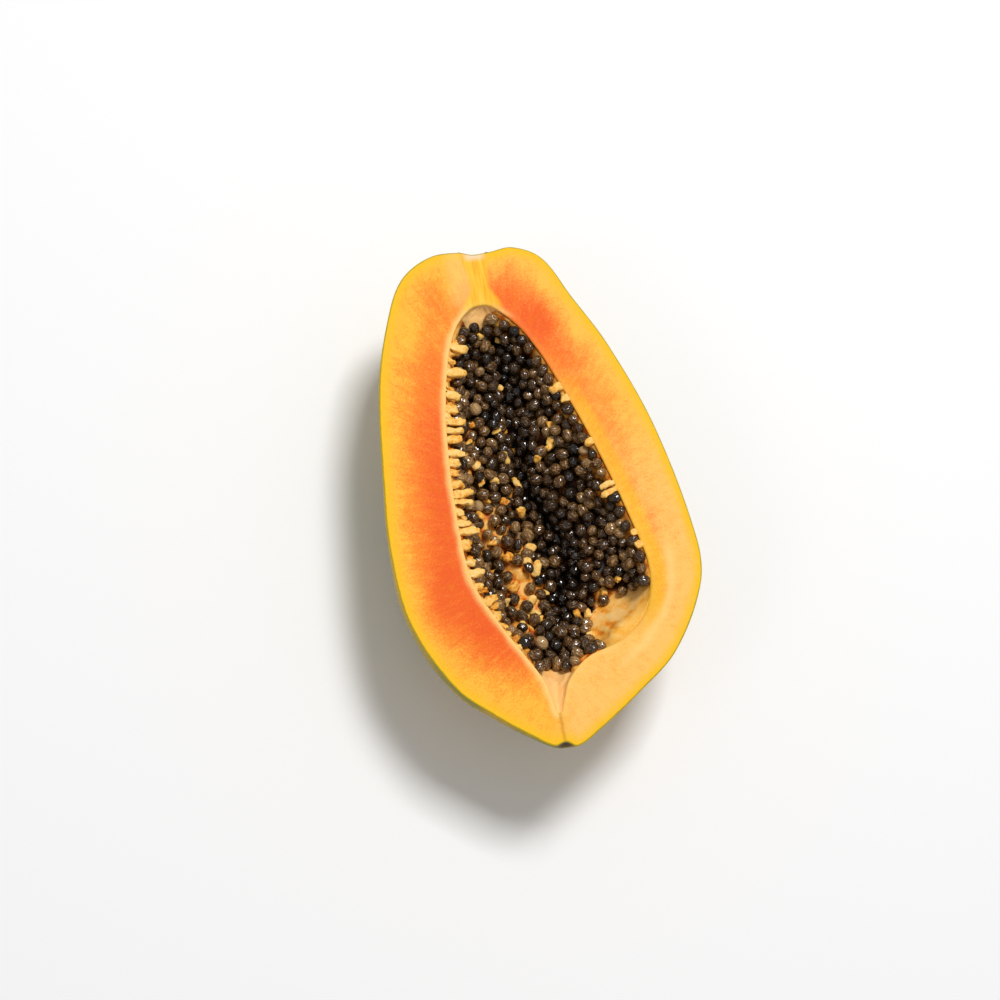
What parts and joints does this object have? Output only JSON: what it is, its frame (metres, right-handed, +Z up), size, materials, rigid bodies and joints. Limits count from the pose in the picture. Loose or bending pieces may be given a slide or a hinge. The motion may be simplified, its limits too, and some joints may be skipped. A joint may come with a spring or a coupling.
{
  "type": "papaya half",
  "caption": "Half a ripe papaya, cut lengthwise and lying on its rounded back, with a seed-lined hollow open at the top.",
  "frame": {"origin": "centre of the bounding box's underside, on the surface that the fruit lies on", "axes": "+Y along the fruit from the blossom end to the stem end, +Z up and square to the cut face, +X to the right seen from above"},
  "size_m": [0.1498, 0.2541, 0.07],
  "materials": {
    "flesh": "moist ripe papaya flesh, orange shading to yellow under a thin mottled green and yellow skin",
    "seeds": "wet dark brown seeds in a thin glossy jelly coat"
  },
  "bodies": {
    "root": {"fruit_half": "flesh", "seed_mass": "seeds"}
  },
  "joints": []
}
